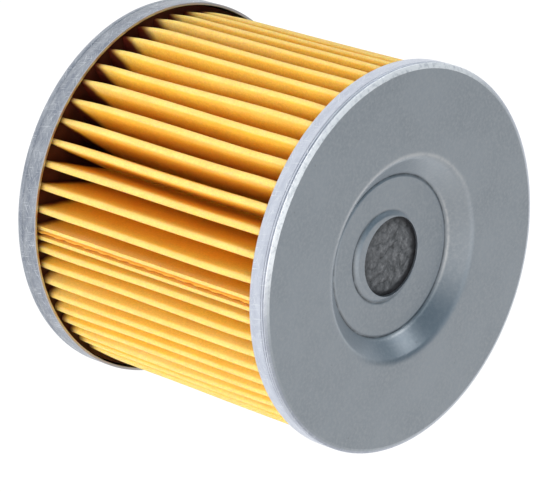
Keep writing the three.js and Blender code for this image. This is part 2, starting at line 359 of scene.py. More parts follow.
# %% Finish tools
def object_place(tree):
    """The surface point in the filter's own space."""
    return add_node(tree, "ShaderNodeTexCoord").outputs["Object"]


def noise(tree, size_mm, detail=3, roughness=0.55, place=None):
    """Noise whose features are about size_mm wide."""
    source = place if place is not None else object_place(tree)
    node = add_node(tree, "ShaderNodeTexNoise", Vector=source, Scale=1 / (size_mm * MM))
    node.inputs["Detail"].default_value = detail
    node.inputs["Roughness"].default_value = roughness
    return node.outputs["Fac"]


def step_up(tree, value, start, end):
    """0 before start, 1 after end, and a smooth rise between them, for a socket."""
    node = add_node(tree, "ShaderNodeMapRange", {"interpolation_type": "SMOOTHSTEP"}, Value=value)
    node.inputs["From Min"].default_value = start
    node.inputs["From Max"].default_value = end
    return node.outputs["Result"]


def radius_and_height(tree):
    """Distance from the axis and height, both in millimetres."""
    axes = add_node(tree, "ShaderNodeSeparateXYZ", Vector=object_place(tree))
    flat = add_node(tree, "ShaderNodeCombineXYZ", X=axes.outputs["X"], Y=axes.outputs["Y"])
    across = add_node(tree, "ShaderNodeVectorMath", {"operation": "LENGTH"})
    tree.links.new(flat.outputs[0], across.inputs[0])
    millimetres = 1 / MM
    return (
        maths(tree, "MULTIPLY", across.outputs["Value"], millimetres),
        maths(tree, "MULTIPLY", axes.outputs["Z"], millimetres),
    )


def unrolled(tree, stretch_round, stretch_up, slant):
    """The cylinder's surface laid flat, turned by slant degrees and stretched for drawn out marks."""
    axes = add_node(tree, "ShaderNodeSeparateXYZ", Vector=object_place(tree))
    angle = maths(tree, "ARCTAN2", axes.outputs["Y"], axes.outputs["X"])
    round_way = maths(tree, "MULTIPLY", angle, radius * MM)
    flat = add_node(tree, "ShaderNodeCombineXYZ", X=round_way, Y=axes.outputs["Z"])
    turned_flat = add_node(tree, "ShaderNodeVectorRotate", {"rotation_type": "Z_AXIS"})
    tree.links.new(flat.outputs[0], turned_flat.inputs["Vector"])
    turned_flat.inputs["Angle"].default_value = math.radians(slant)
    scaled = add_node(tree, "ShaderNodeVectorMath", {"operation": "MULTIPLY"})
    tree.links.new(turned_flat.outputs[0], scaled.inputs[0])
    scaled.inputs[1].default_value = (stretch_round, stretch_up, 1)
    return scaled.outputs[0]


def bumped(tree, height, depth_mm, normal=None):
    """A bump whose full swing is depth_mm deep."""
    node = add_node(tree, "ShaderNodeBump", Height=height, Distance=depth_mm * MM)
    node.inputs["Strength"].default_value = 1
    if normal is not None:
        tree.links.new(normal, node.inputs["Normal"])
    return node.outputs["Normal"]


def finish_material(name, paint):
    """A material whose principled shader is set up by paint(tree, shader)."""
    material = bpy.data.materials.new(name)
    tree = shader_tree(material)
    shader = add_node(tree, "ShaderNodeBsdfPrincipled")
    output = add_node(tree, "ShaderNodeOutputMaterial")
    tree.links.new(shader.outputs[0], output.inputs["Surface"])
    paint(tree, shader)
    return material


def cloudy_finish(name, cloud_mm, tones, rough, grain_mm, grain_depth, metallic=0, detail=4):
    """A finish with clouds of two tones, a roughness that follows them and a fine bumpy grain."""
    def paint(tree, shader):
        cloud = noise(tree, cloud_mm, detail=detail)
        feed(tree, shader, Base_Color=colour_ramp(tree, cloud, tones))
        feed(tree, shader, Roughness=maths(tree, "MULTIPLY_ADD", cloud, *rough))
        shader.inputs["Metallic"].default_value = metallic
        feed(tree, shader, Normal=bumped(tree, noise(tree, grain_mm), grain_depth))

    return finish_material(name, paint)


print("finish tools are ready")

# %% [markdown]
# ## Plated cap steel
# The caps are pressed from tin plated sheet. Their faces are satin and faintly pebbled where the metal
# was stretched, and their skirts are brighter and covered in fine scuffs from the crimping rollers. One
# material does both: it reads how far it is from the axis and turns the scuffs on at the skirt. It also
# reads two marks that are stored with a cap's points, painted shade in its creases and a painted
# highlight on its edges. It paints light as well: a highlight on one side of the closed cap's rim, and
# the closed cap's skirt lit lighter and the open cap's skirt shaded darker.

# %% Steel of the faces and the skirts
def roller_scuffs(tree):
    """Fine scratches in three directions."""
    scuff = 0
    for slant, width in ((24, 0.10), (-33, 0.13), (78, 0.16)):
        lines = noise(tree, width, detail=2, place=unrolled(tree, 0.05, 1, slant))
        scuff = maths(tree, "MAXIMUM", scuff, step_up(tree, lines, 0.60, 0.72))
    return scuff


def face_steel(tree, cloud, pebble):
    """Two greys in clouds, with pale pebbles and a few dark spots."""
    base = colour_ramp(tree, cloud, [(0.3, (0.47, 0.52, 0.57)), (0.7, (0.54, 0.59, 0.64))])
    speckled = blend_colours(tree, step_up(tree, pebble, 0.35, 0.75), base, (0.58, 0.62, 0.66))
    spots = step_up(tree, noise(tree, 1.3, detail=4, roughness=0.7), 0.66, 0.74)
    return blend_colours(tree, maths(tree, "MULTIPLY", spots, 0.5), speckled, (0.34, 0.37, 0.40))


def skirt_steel(tree, height, upper, scuff):
    """Mottled and scuffed, and dull along the raw cut edges. The closed cap's skirt is painted lighter and
    the open cap's darker, as painted light and painted shade.
    """
    # upper is 1 on the closed cap: painted light makes its skirt lighter and more evenly pale, and painted
    # shade makes the open cap's skirt darker.
    colour = blend_colours(tree, upper, (0.38, 0.41, 0.46), (0.66, 0.70, 0.78))
    blotch = noise(tree, 1.2, detail=4, roughness=0.65, place=unrolled(tree, 0.3, 1, 0))
    mottled = blend_colours(tree, step_up(tree, blotch, 0.35, 0.65), (0.66, 0.68, 0.73), (1, 1, 1))
    mottled = blend_colours(tree, maths(tree, "MULTIPLY", upper, 0.6), mottled, (0.95, 0.95, 0.97))
    colour = blend_colours(tree, 1.0, colour, mottled, "MULTIPLY")
    colour = blend_colours(tree, maths(tree, "MULTIPLY", scuff, 0.8), colour, (0.82, 0.86, 0.90))
    raw_edge = maths(
        tree, "MULTIPLY",
        step_up(tree, height, open_skirt_top - 0.22, open_skirt_top - 0.12),
        step_up(tree, maths(tree, "MULTIPLY", height, -1), -skirt_low - 0.2, -skirt_low - 0.1),
    )
    return blend_colours(tree, raw_edge, colour, (0.62, 0.60, 0.61))


def painted_rim_highlight(tree, across, height):
    """The band at the closed cap's rim, with a painted highlight on its lit side, broken into patches."""
    place = add_node(tree, "ShaderNodeSeparateXYZ", Vector=object_place(tree))
    leaning = maths(tree, "SUBTRACT", maths(tree, "MULTIPLY", place.outputs["X"], -0.8), place.outputs["Y"])
    # The painted highlight is strongest towards -X and -Y, on the side of the key lamp.
    lit_side = step_up(tree, leaning, 8 * MM, 30 * MM)
    band = maths(
        tree, "MULTIPLY",
        step_up(tree, height, length - 0.46, length - 0.40),
        step_up(tree, across, radius - 0.92, radius - 0.84),
    )
    patchiness = step_up(tree, noise(tree, 0.7, detail=4, roughness=0.7), 0.34, 0.52)
    lit_side = maths(tree, "MULTIPLY", lit_side, maths(tree, "MULTIPLY_ADD", patchiness, 0.4, 0.5))
    return maths(tree, "MULTIPLY", band, lit_side)


print("steel tones are ready")

# %% [markdown]
# The tones are joined here. The rim's painted highlight and the two marks of painted light and shade go on
# last, because they lie on top.

# %% Finish for the caps
def paint_cap_steel(tree, shader):
    across, height = radius_and_height(tree)
    cloud = noise(tree, 9, detail=4)
    pebble = noise(tree, 0.55, detail=3, roughness=0.6)
    skirt = step_up(tree, across, radius - 0.55, radius - 0.35)
    # upper marks the closed cap, whose skirt is painted lighter than the open cap's.
    upper = step_up(tree, height, length * 0.4, length * 0.6)
    scuff = maths(tree, "MULTIPLY", roller_scuffs(tree), skirt)
    skirt_colour = skirt_steel(tree, height, upper, scuff)
    colour = blend_colours(tree, skirt, face_steel(tree, cloud, pebble), skirt_colour)
    # Painted highlight: a near white band on the lit side of the closed cap's rim.
    rim_highlight_share = painted_rim_highlight(tree, across, height)
    colour = blend_colours(tree, rim_highlight_share, colour, (0.90, 0.93, 0.96))
    broken = step_up(tree, noise(tree, 2.2, detail=4, roughness=0.7), 0.36, 0.56)
    # The two marks are painted light, broken up by noise: a painted highlight on edges and a painted shade in
    # creases.
    for mark, mark_colour in (("painted_highlight", (0.90, 0.91, 0.92)), ("painted_shade", (0.05, 0.055, 0.06))):
        share = add_node(tree, "ShaderNodeAttribute", {"attribute_name": mark}).outputs["Fac"]
        share = maths(tree, "MULTIPLY", share, maths(tree, "MULTIPLY_ADD", broken, 0.55, 0.45))
        colour = blend_colours(tree, share, colour, mark_colour)
    feed(tree, shader, Base_Color=colour)
    feed(tree, shader, Roughness=maths(tree, "MULTIPLY_ADD", cloud, 0.12, 0.33))
    scuffed_upper = maths(tree, "MULTIPLY", maths(tree, "MULTIPLY", scuff, upper), 0.5)
    # The rim's painted highlight is made less metallic, so that its pale colour shows from every side, and so
    # are the scuffs on the closed cap's skirt.
    chalky = maths(tree, "MAXIMUM", rim_highlight_share, scuffed_upper)
    feed(tree, shader, Metallic=maths(tree, "MULTIPLY_ADD", chalky, -0.55, 1))
    grain = bumped(tree, pebble, 0.012)
    grain = bumped(tree, maths(tree, "MULTIPLY", scuff, -1), 0.012, grain)
    feed(tree, shader, Normal=grain)


cap_steel = finish_material("cap_steel", paint_cap_steel)
print("cap steel is ready")

# %% [markdown]
# ## Closed end cap
# This cap is a shallow cup: a skirt with a raw cut edge and two fine die lines, a narrow sloping band at the
# rim, a flat face, and a recess with sloping walls and a crease at their foot. The floor of the recess has
# a coined flat round the port, which the press struck a little off centre. A lathe outline gives all of it
# but the coined flat, which is added afterwards by lifting the points that lie inside its circle.

# %% Closed end cap
RECESS_FLOOR = length - 3.0
PORT_RADIUS = 6.8
BOSS_CENTRE = (0.3, -1.3)
BOSS_RADIUS = 8.1
BOSS_HEIGHT = 0.4
RECESS_MOUTH = 17.5
RIM_BAND_WIDTH = 0.85
RIM_BAND_DROP = 0.34
DIE_LINE = length - 0.62
CAP_SIDES = 256


def die_line(height, depth, half_width, fillet):
    """Corners of a fine groove round a skirt, as the edge of a die leaves it."""
    return [
        (radius, height - half_width, 0),
        (radius - depth, height, fillet),
        (radius, height + half_width, 0),
    ]


def closed_cap():
    floor_rings = [(across, RECESS_FLOOR, 0) for across in np.arange(10.4, PORT_RADIUS + 0.1, -0.12)]
    outline = rounded([
        (radius - SHEET, skirt_low, 0.08),
        (radius, skirt_low, 0.12),
        *die_line(DIE_LINE - 0.48, 0.09, 0.08, 0.02),
        *die_line(DIE_LINE, 0.16, 0.13, 0.03),
        (radius, length - RIM_BAND_DROP, 0.2),
        (radius - RIM_BAND_WIDTH, length, 0.12),
        (18.9, length, 0),
        (18.5, length, 0),
        (RECESS_MOUTH, length, 2.0),
        (14.6, RECESS_FLOOR + 0.46, 0),
        (14.32, RECESS_FLOOR + 0.21, 0),
        (14.08, RECESS_FLOOR, 0.05),
        (13.93, RECESS_FLOOR - 0.2, 0.05),
        (13.45, RECESS_FLOOR, 0.3),
        *floor_rings,
        (PORT_RADIUS, RECESS_FLOOR, 0.1),
        (PORT_RADIUS, RECESS_FLOOR - SHEET, 0.05),
        (14.3, RECESS_FLOOR - SHEET, 0.5),
        (17.8, length - SHEET, 0.5),
        (radius - SHEET, length - SHEET, 0.8),
    ])
    points, faces = turned(outline, CAP_SIDES)
    from_boss = np.hypot(points[:, 0] - BOSS_CENTRE[0], points[:, 1] - BOSS_CENTRE[1])
    on_top = (points[:, 2] > RECESS_FLOOR - 0.3) & (np.hypot(points[:, 0], points[:, 1]) < 10.6)
    away = np.arctan2(points[:, 1] - BOSS_CENTRE[1], points[:, 0] - BOSS_CENTRE[0])
    lift = BOSS_HEIGHT * (1 - smooth_step(from_boss, BOSS_RADIUS - 1.2, BOSS_RADIUS - 0.2))
    # One side of the boss's foot, where the groove is deeper and its painted shade is darker.
    deeper_side = 0.5 + 0.5 * np.cos(away + math.radians(50))
    foot = bell(from_boss, BOSS_RADIUS - 0.2, 0.2) * deeper_side
    points[:, 2] += np.where(on_top, lift - 0.16 * foot, 0)
    outside = points[:, 2] > RECESS_FLOOR - 0.3
    across = np.hypot(points[:, 0], points[:, 1])
    around = np.arctan2(points[:, 1], points[:, 0])
    # The marks paint light into the steel: a painted shade in the crease at the foot of the recess wall and
    # round the boss's foot, and a painted highlight along one side of the recess mouth and of the crest
    # outside the crease.
    crease = bell(across, 13.86, 0.16)
    mouth = bell(across, 17.85, 0.3) * smooth_step(np.cos(around + math.radians(150)), 0.1, 0.8)
    crest = bell(across, 14.3, 0.14) * smooth_step(np.cos(around - math.radians(80)), 0.1, 0.8)
    marks = {
        "painted_shade": outside * np.maximum(0.75 * crease, 0.8 * foot * on_top),
        "painted_highlight": outside * np.maximum(0.55 * mouth, 0.9 * crest),
    }
    return points, faces, marks


points, faces, marks = closed_cap()
add_piece(
    "closed_end_cap_pressing", points, faces, cap_steel, "element", "closed_end_cap", marks=marks
)

# %% [markdown]
# ## Open end cap
# The other cap is the same kind of cup, turned over, with a shallow dish round the outlet hole. Its face
# is the lowest part of the filter, so it keeps exactly to the CAD height.

# %% Open end cap
DISH_DEPTH = 1.8
OUTLET_HOLE = 12.4


def open_cap():
    outline = rounded([
        (OUTLET_HOLE, DISH_DEPTH, 0.08),
        (16.2, DISH_DEPTH, 0.4),
        (17.4, 0, 0.7),
        (radius, 0, 1.3),
        *die_line(1.75, 0.08, 0.13, 0.03),
        (radius, open_skirt_top, 0.12),
        (radius - SHEET, open_skirt_top, 0.08),
        (radius - SHEET, SHEET, 0.8),
        (17.7, SHEET, 0.4),
        (16.5, DISH_DEPTH + SHEET, 0.4),
        (OUTLET_HOLE, DISH_DEPTH + SHEET, 0.08),
    ])
    return turned(outline, CAP_SIDES)


points, faces = open_cap()
add_piece("open_end_cap_pressing", points, faces, cap_steel, "element", "open_end_cap")

# %% [markdown]
# ## Filter paper
# The paper is stiff, resin cured and a warm yellow. Light that gets between two pleats bounces from
# yellow to yellow and turns deep orange, which the renderer does by itself; the finish also deepens the
# orange a little towards the roots as painted shade. It adds fold tips painted paler as a painted
# highlight, a faint fibre grain, and a darkening of the paper near the open cap.

# %% Finish for the paper
def darkened_near_open_cap(tree, depth, height, cloud):
    """How far the paper is darkened up from the open cap: furthest at the roots, and more on the -X side."""
    place = add_node(tree, "ShaderNodeSeparateXYZ")
    tree.links.new(object_place(tree), place.inputs[0])
    minus_x_side = step_up(tree, maths(tree, "MULTIPLY", place.outputs["X"], -1), -4 * MM, 24 * MM)
    reach = maths(tree, "MULTIPLY_ADD", minus_x_side, 9, 3)
    reach = maths(tree, "MULTIPLY", maths(tree, "SUBTRACT", 1, depth), reach)
    uneven = maths(tree, "MULTIPLY_ADD", cloud, 3, -1.5)
    above = maths(tree, "SUBTRACT", height, maths(tree, "ADD", reach, uneven))
    above = maths(tree, "MULTIPLY_ADD", minus_x_side, -1.2, above)
    return maths(tree, "SUBTRACT", 1, step_up(tree, above, paper_low - 0.4, paper_low + 2.6))


def paint_paper(tree, shader):
    depth = add_node(tree, "ShaderNodeAttribute", {"attribute_name": "depth"}).outputs["Fac"]
    tip = add_node(tree, "ShaderNodeAttribute", {"attribute_name": "tip"}).outputs["Fac"]
    height = radius_and_height(tree)[1]
    fibre = noise(tree, 0.35, detail=4, roughness=0.65)
    cloud = noise(tree, 5, detail=3)
    # Painted shade: the orange is a little deeper towards the roots of the pleats.
    colour = colour_ramp(tree, depth, [
        (0.0, (0.96, 0.42, 0.025)),
        (0.7, (0.97, 0.47, 0.04)),
        (0.95, (0.95, 0.50, 0.06)),
    ])
    # Painted highlight: the fold tips are painted paler.
    colour = blend_colours(tree, maths(tree, "MULTIPLY", tip, 0.85), colour, (0.84, 0.58, 0.20))
    grain = colour_ramp(tree, fibre, [(0.3, 0.80), (0.7, 1.0)])
    colour = blend_colours(tree, 1.0, colour, grain, "MULTIPLY")
    patch = colour_ramp(tree, cloud, [(0.3, (0.95, 0.90, 0.80)), (0.7, (1, 1, 1))])
    colour = blend_colours(tree, 1.0, colour, patch, "MULTIPLY")
    # The paper is darkened to a near black brown near the open cap, further up in the valleys and on the -X
    # side.
    colour = blend_colours(tree, darkened_near_open_cap(tree, depth, height, cloud), colour, (0.07, 0.008, 0.004))
    feed(tree, shader, Base_Color=colour)
    shader.inputs["Roughness"].default_value = 0.75
    shader.inputs["Subsurface Weight"].default_value = 0.6
    shader.inputs["Subsurface Radius"].default_value = (1.0, 0.5, 0.1)
    shader.inputs["Subsurface Scale"].default_value = 0.003
    feed(tree, shader, Normal=bumped(tree, fibre, 0.02))


paper_finish = finish_material("filter_paper", paint_paper)
print("paper is ready")

# %% [markdown]
# ## Pleated paper
# One strip of paper is folded to and fro 56 times and its two ends are glued, which leaves the pleats
# tight on one side of the seam and loose on the other. A simple star outline would look machined, so each
# pleat also wanders a little along its length. Near the open cap the glue draws the tips in and pinches
# their round folds sharp. The mesh is made level by level, and every level is one outline with both faces
# of the paper.

# %% Pleated paper
PLEATS = 56
SEAM_ANGLE = -63.0
CROWDING = 0.134
PAPER = 0.6
FOLD = 0.34
ROOT_RADIUS = 19.6
FOLD_STEPS = 7
FLANK_STEPS = 4
LEVELS = 64
SEAM_GAP = 1.2


def pleat_angle(pleat):
    """Angle of a pleat's outer fold in degrees, before it wanders."""
    share = pleat / PLEATS
    return SEAM_ANGLE + 360 * share * (1 - CROWDING + CROWDING * share)


def wander(pleats, level, seed):
    """A slow, smooth and repeatable drift between -1 and 1 for each pleat along the paper."""
    random = np.random.default_rng(seed)
    phases = random.uniform(0, 2 * math.pi, (3, len(pleats)))
    sizes = random.uniform(0.2, 0.6, (3, len(pleats)))
    waves = zip(sizes, phases, (1.3, 3.1, 6.0))
    return sum(size * np.sin(turns * level + phase) for size, phase, turns in waves) / 1.2


def tip_pinch(angles, height):
    """How far the tips are drawn in near the two caps, in millimetres."""
    from_touching = np.radians(angles + 50)
    grip = 0.4 - 0.18 * np.cos(from_touching) - 0.14 * np.cos(2 * from_touching)
    return grip * bell(height, paper_low, 4.0) + 0.12 * bell(height, paper_high, 4.0)


def fold_sharpness(angles, height):
    """How far the glue of the open cap pinches each tip from a round fold to a sharp one, from 0 to 1."""
    minus_x_side = smooth_step(-np.cos(np.radians(angles)), -0.4, 0.5)
    return (0.12 + 0.88 * minus_x_side) * bell(height, paper_low, 6.0)


def fold_points(angles, radii, fold, sense, face):
    """Points round each fold for one face of the paper. sense is 1 at the tips and -1 at the roots."""
    turns = np.radians(np.linspace(-80, 80, FOLD_STEPS))
    direction = np.radians(angles)[:, None]
    centre = (radii - sense * (fold + PAPER / 2))[:, None]
    facing = direction + sense * turns + (0 if sense > 0 else math.pi)
    reach = np.maximum(fold + face * sense * PAPER / 2, 0.02)[:, None]
    x = centre * np.cos(direction) + reach * np.cos(facing)
    y = centre * np.sin(direction) + reach * np.sin(facing)
    return np.stack([x, y], axis=-1)


def flank_points(start, end, bulge):
    """Points across each flank, which bows a little between its two folds."""
    share = np.linspace(0, 1, FLANK_STEPS + 2)[1:-1][None, :, None]
    line = start[:, None] * (1 - share) + end[:, None] * share
    along = end - start
    across = np.stack([-along[:, 1], along[:, 0]], axis=-1)
    across /= np.linalg.norm(across, axis=1, keepdims=True)
    return line + across[:, None] * np.sin(math.pi * share) * bulge[:, None, None]


def seam_directions():
    """The directions outward along the seam and sideways across it."""
    seam = math.radians(SEAM_ANGLE)
    return np.array([math.cos(seam), math.sin(seam)]), np.array([-math.sin(seam), math.cos(seam)])


def strip_end(side, face):
    """The point where the paper's end stops beside the glued seam, on the side given as 1 or -1."""
    outward, sideways = seam_directions()
    aside = side * ((SEAM_GAP + PAPER) / 2 + face * PAPER / 2)
    return outward * (tip_radius - 0.4) + sideways * aside


def paper_level(height):
    """The outline of the paper at one height, from end to end, for its outer face and its inner face."""
    level = (height - paper_low) / (paper_high - paper_low)
    pleats = np.arange(PLEATS)
    settle = np.clip(np.minimum(height - paper_low, paper_high - height) / 10, 0.25, 1)
    tips = pleat_angle(pleats) + 0.45 * wander(pleats, level, 5) * settle * (pleats > 0)
    following = np.append(tips[1:], tips[0] + 360)
    roots = (tips + following) / 2 + 0.3 * wander(pleats, level, 9)
    tip_radii = tip_radius - 0.16 + 0.14 * wander(pleats, level, 13) - tip_pinch(tips, height)
    bulge = 0.16 * wander(pleats, level, 17)
    tip_folds = FOLD * (1 - 0.85 * fold_sharpness(tips, height))
    faces = []
    for face in (1, -1):
        outer = fold_points(tips, tip_radii, tip_folds, 1, face)
        inner = fold_points(roots, np.full(PLEATS, ROOT_RADIUS), np.full(PLEATS, FOLD), -1, face)
        outer[0, -1] = strip_end(1, face)
        next_outer = np.roll(outer[:, 0], -1, axis=0)
        next_outer[-1] = strip_end(-1, face)
        down = flank_points(outer[:, -1], inner[:, 0], bulge)
        rise = flank_points(inner[:, -1], next_outer, -bulge)
        strip = np.concatenate([outer, down, inner, rise], axis=1).reshape(-1, 2)
        faces.append(np.concatenate([strip[FOLD_STEPS - 1:], next_outer[-1:]]))
    return faces


def pleated_paper():
    levels = np.linspace(paper_low, paper_high, LEVELS)
    outside, inside = [], []
    for height in levels:
        outer, inner = paper_level(height)
        outside.append(np.column_stack([outer, np.full(len(outer), height)]))
        inside.append(np.column_stack([inner, np.full(len(inner), height)]))
    points = np.concatenate(outside + inside[::-1])
    around = len(outside[0])
    faces = [grid_quads(2 * LEVELS, around, True, False)]
    for column in (0, around - 1):
        rows = np.arange(LEVELS - 1)
        mirrored = 2 * LEVELS - 1 - rows
        ends = np.stack([rows, rows + 1, mirrored - 1, mirrored], axis=-1)
        faces.append(ends * around + column)
    return points, np.concatenate(faces)


def paper_marks(points):
    """How deep each point lies in the pleats, and how near it is to the crest of a fold."""
    across = np.hypot(points[:, 0], points[:, 1])
    crest = tip_radius - 0.16 - tip_pinch(np.degrees(np.arctan2(points[:, 1], points[:, 0])), points[:, 2])
    return {
        "depth": np.clip((across - ROOT_RADIUS) / (crest - ROOT_RADIUS), 0, 1),
        "tip": smooth_step(across, crest - 0.65, crest - 0.3),
    }


points, faces = pleated_paper()
add_piece(
    "pleated_paper_strip", points, faces, paper_finish, "element", "pleated_paper",
    crease=70, marks=paper_marks(points),
)

# %% [markdown]
# ## Glue
# A dark brown resin fills the bottom of each cap and holds the paper. It was poured wet, so its surface
# climbs where it meets the skirt and the pleats, and it sets with a slight shine.

# %% Glue rings
end_glue = cloudy_finish(
    "end_glue", 3, [(0.3, (0.030, 0.007, 0.004)), (0.75, (0.075, 0.018, 0.009))], (0.3, 0.3), 0.8, 0.04
)


def glue_ring(bottom, top, climbs):
    """A poured ring between the centre tube and the skirt. climbs is 1 if its free face is on top, or -1."""
    inner, outer = tube_radius + 0.3, radius - SHEET - 0.3
    radii = np.linspace(inner, outer, 26)
    free, held = (top, bottom) if climbs > 0 else (bottom, top)
    meniscus = 0.7 * np.exp(-(outer - radii) / 0.6) + 0.5 * np.exp(-(radii - inner) / 0.6)
    sides = 288
    angles = np.linspace(0, 2 * math.pi, sides, endpoint=False)
    ripple = 0.12 * np.sin(9 * angles + 1)[None, :] * np.sin(radii / 2.3)[:, None]
    surface = free + climbs * (meniscus[:, None] + ripple)
    flat = np.full(surface.shape, held)
    across = np.concatenate([radii, radii[::-1]])[:, None]
    height = np.concatenate([surface, flat[::-1]])
    points = np.stack([across * np.cos(angles), across * np.sin(angles), height], axis=-1)
    return points.reshape(-1, 3), grid_quads(2 * len(radii), sides, True, True)


open_glue_low, open_glue_high = heights("open_end_glue")
points, faces = glue_ring(open_glue_low, open_glue_high + 0.8, 1)
add_piece("open_end_glue_ring", points, faces, end_glue, "element", "open_end_glue")
closed_glue_low, closed_glue_high = heights("closed_end_glue")
points, faces = glue_ring(closed_glue_low - 0.8, closed_glue_high, -1)
add_piece("closed_end_glue_ring", points, faces, end_glue, "element", "closed_end_glue")

# %% [markdown]
# ## Seam bead
# The paper's two ends are joined by a bead of clear amber glue. It is a flat oval swept up the seam, and it
# swells a little here and there, as glue does when it is squeezed.

# %% Seam bead
BEAD_CENTRE = tip_radius - 3.5


def seam_bead():
    """A thin bead that stands between the two ends of the paper and is a little uneven along its length."""
    levels = np.linspace(paper_low, paper_high, 60)
    outward, sideways = seam_directions()
    turns = np.linspace(0, 2 * math.pi, 16, endpoint=False)
    points = []
    for height in levels:
        swell = 1 + 0.05 * math.sin(height * 1.7) + 0.04 * math.sin(height * 4.1 + 1)
        along = BEAD_CENTRE + 2.9 * swell * np.cos(turns)
        beside = 0.42 * swell * np.sin(turns)
        flat = along[:, None] * outward + beside[:, None] * sideways
        points.append(np.column_stack([flat, np.full(len(turns), height)]))
    middles = [[*(outward * BEAD_CENTRE), level] for level in (levels[0], levels[-1])]
    sides = grid_quads(len(levels), len(turns), False, True)
    count = len(levels) * len(turns)
    caps = []
    for middle, first in ((count, 0), (count + 1, count - len(turns))):
        ring = first + np.arange(len(turns))
        caps.append(np.stack([ring, np.roll(ring, -1), np.full(len(turns), middle)], axis=-1))
    faces = sides.tolist() + np.concatenate(caps).tolist()
    return np.concatenate(points + [np.array(middles)]), faces


amber_glue = cloudy_finish(
    "amber_glue", 2.5, [(0.3, (0.86, 0.42, 0.05)), (0.7, (0.92, 0.52, 0.09))], (0.2, 0.3), 0.9, 0.03
)
points, faces = seam_bead()
add_piece("paper_seam_bead", points, faces, amber_glue, "element", "paper_seam_glue")

# %% [markdown]
# ## Centre tube
# The tube is rolled from steel sheet with rows of punched holes, and it stops the paper from collapsing.
# Each hole sits in a square cell. A ring of quads leads from the round hole to the cell's edge, and the
# edges have the same spacing, so cells of the staggered rows share their points and the sheet is one
# surface. A solidify modifier then gives it the thickness of the metal.

# %% Centre tube
def paint_tube_steel(tree, shader):
    cloud = noise(tree, 6, detail=4)
    drawn = noise(tree, 0.3, detail=3, place=unrolled(tree, 0.04, 1, 0))
    colour = colour_ramp(tree, cloud, [(0.3, (0.40, 0.42, 0.44)), (0.7, (0.55, 0.56, 0.58))])
    streaks = colour_ramp(tree, drawn, [(0.35, 0.8), (0.65, 1.0)])
    feed(tree, shader, Base_Color=blend_colours(tree, 1.0, colour, streaks, "MULTIPLY"))
    feed(tree, shader, Roughness=maths(tree, "MULTIPLY_ADD", cloud, 0.2, 0.3))
    shader.inputs["Metallic"].default_value = 1
    feed(tree, shader, Normal=bumped(tree, drawn, 0.006))


TUBE_ROWS = 4
TUBE_COLUMNS = 10
TUBE_HOLE = 2.2
EDGE_STEPS = 6


def perforated_sheet():
    pitch = (tube_high - tube_low) / (TUBE_ROWS + 0.5)
    margin = pitch * 0.25
    cell_angle = 2 * math.pi / TUBE_COLUMNS
    middle_radius = tube_radius - SHEET / 2
    steps = np.arange(4 * EDGE_STEPS)
    side, share = steps // EDGE_STEPS, 2 * (steps % EDGE_STEPS) / EDGE_STEPS - 1
    edge_x = np.select([side == 0, side == 1, side == 2], [share, 1, -share], -1)
    edge_y = np.select([side == 0, side == 1, side == 2], [-1, share, 1], -share)
    edge = np.stack([edge_x * cell_angle * middle_radius / 2, edge_y * pitch / 2], axis=-1)
    turns = np.radians(-135 + 90 * steps / EDGE_STEPS)
    hole = TUBE_HOLE * np.stack([np.cos(turns), np.sin(turns)], axis=-1)
    rings = np.stack([hole * (1 - blend) + edge * blend for blend in (0, 0.08, 0.4, 1)])
    cell_faces = grid_quads(len(rings), len(steps), False, True)
    flats, faces, count = [], [], 0
    for row in range(TUBE_ROWS):
        for column in range(TUBE_COLUMNS):
            centre = [(column + (row % 2) / 2) * cell_angle * middle_radius, margin + pitch * (row + 0.5)]
            flats.append(rings.reshape(-1, 2) + centre)
            faces.append(cell_faces + count)
            count += rings.shape[0] * rings.shape[1]
    around = np.arange(TUBE_COLUMNS * EDGE_STEPS) * cell_angle * middle_radius / EDGE_STEPS
    for low, high in ((0, margin), (margin + pitch * TUBE_ROWS, tube_high - tube_low)):
        rows = np.linspace(low, high, 3)
        flats.append(np.stack(np.meshgrid(around, rows), axis=-1).reshape(-1, 2))
        faces.append(grid_quads(len(rows), len(around), False, True) + count)
        count += len(rows) * len(around)
    flat = np.concatenate(flats)
    angle = flat[:, 0] / middle_radius
    points = [middle_radius * np.cos(angle), middle_radius * np.sin(angle), tube_low + flat[:, 1]]
    return np.stack(points, axis=-1), np.concatenate(faces)


def thicken(piece, millimetres):
    """Gives a sheet its thickness, half on each side."""
    modifier = piece.modifiers.new("sheet_thickness", "SOLIDIFY")
    modifier.thickness = millimetres * MM
    modifier.offset = 0
    modifier.use_even_offset = True


tube_steel = finish_material("tube_steel", paint_tube_steel)
points, faces = perforated_sheet()
tube = add_piece(
    "perforated_centre_tube", points, faces, tube_steel, "element", "centre_tube", crease=60
)
thicken(tube, SHEET)

# %% [markdown]
# ## Outlet grommet
# A moulded ring of black rubber grips the edge of the outlet hole, with one lip on each side of the
# sheet, and seals on the engine's spigot. Its edges are soft, because rubber moulds have no sharp ones.

# %% Outlet grommet
def grommet_outline():
    low, high = heights("outlet_grommet")
    return rounded([
        (10.6, low, 0.3),
        (15.2, low, 0.35),
        (15.6, 1.5, 0.12),
        (12.1, 1.5, 0.1),
        (12.1, 2.6, 0.1),
        (14.6, 2.6, 0.12),
        (13.6, high, 0.4),
        (10.8, high, 0.35),
        (10.0, high - 1, 0.3),
        (10.0, low + 0.8, 0.3),
    ])


black_rubber = cloudy_finish(
    "black_rubber", 4, [(0.35, (0.012, 0.012, 0.013)), (0.75, (0.035, 0.035, 0.036))], (0.25, 0.42), 0.4, 0.01
)
points, faces = turned(grommet_outline(), 160)
add_piece("outlet_grommet_ring", points, faces, black_rubber, "element", "outlet_grommet")

# %% [markdown]
# ## Bypass valve
# If the paper clogs, the oil pushes a rubber faced plate away from the port and flows straight into the
# tube. A light stamped cage with four windows hangs under the recess floor and carries the spring.

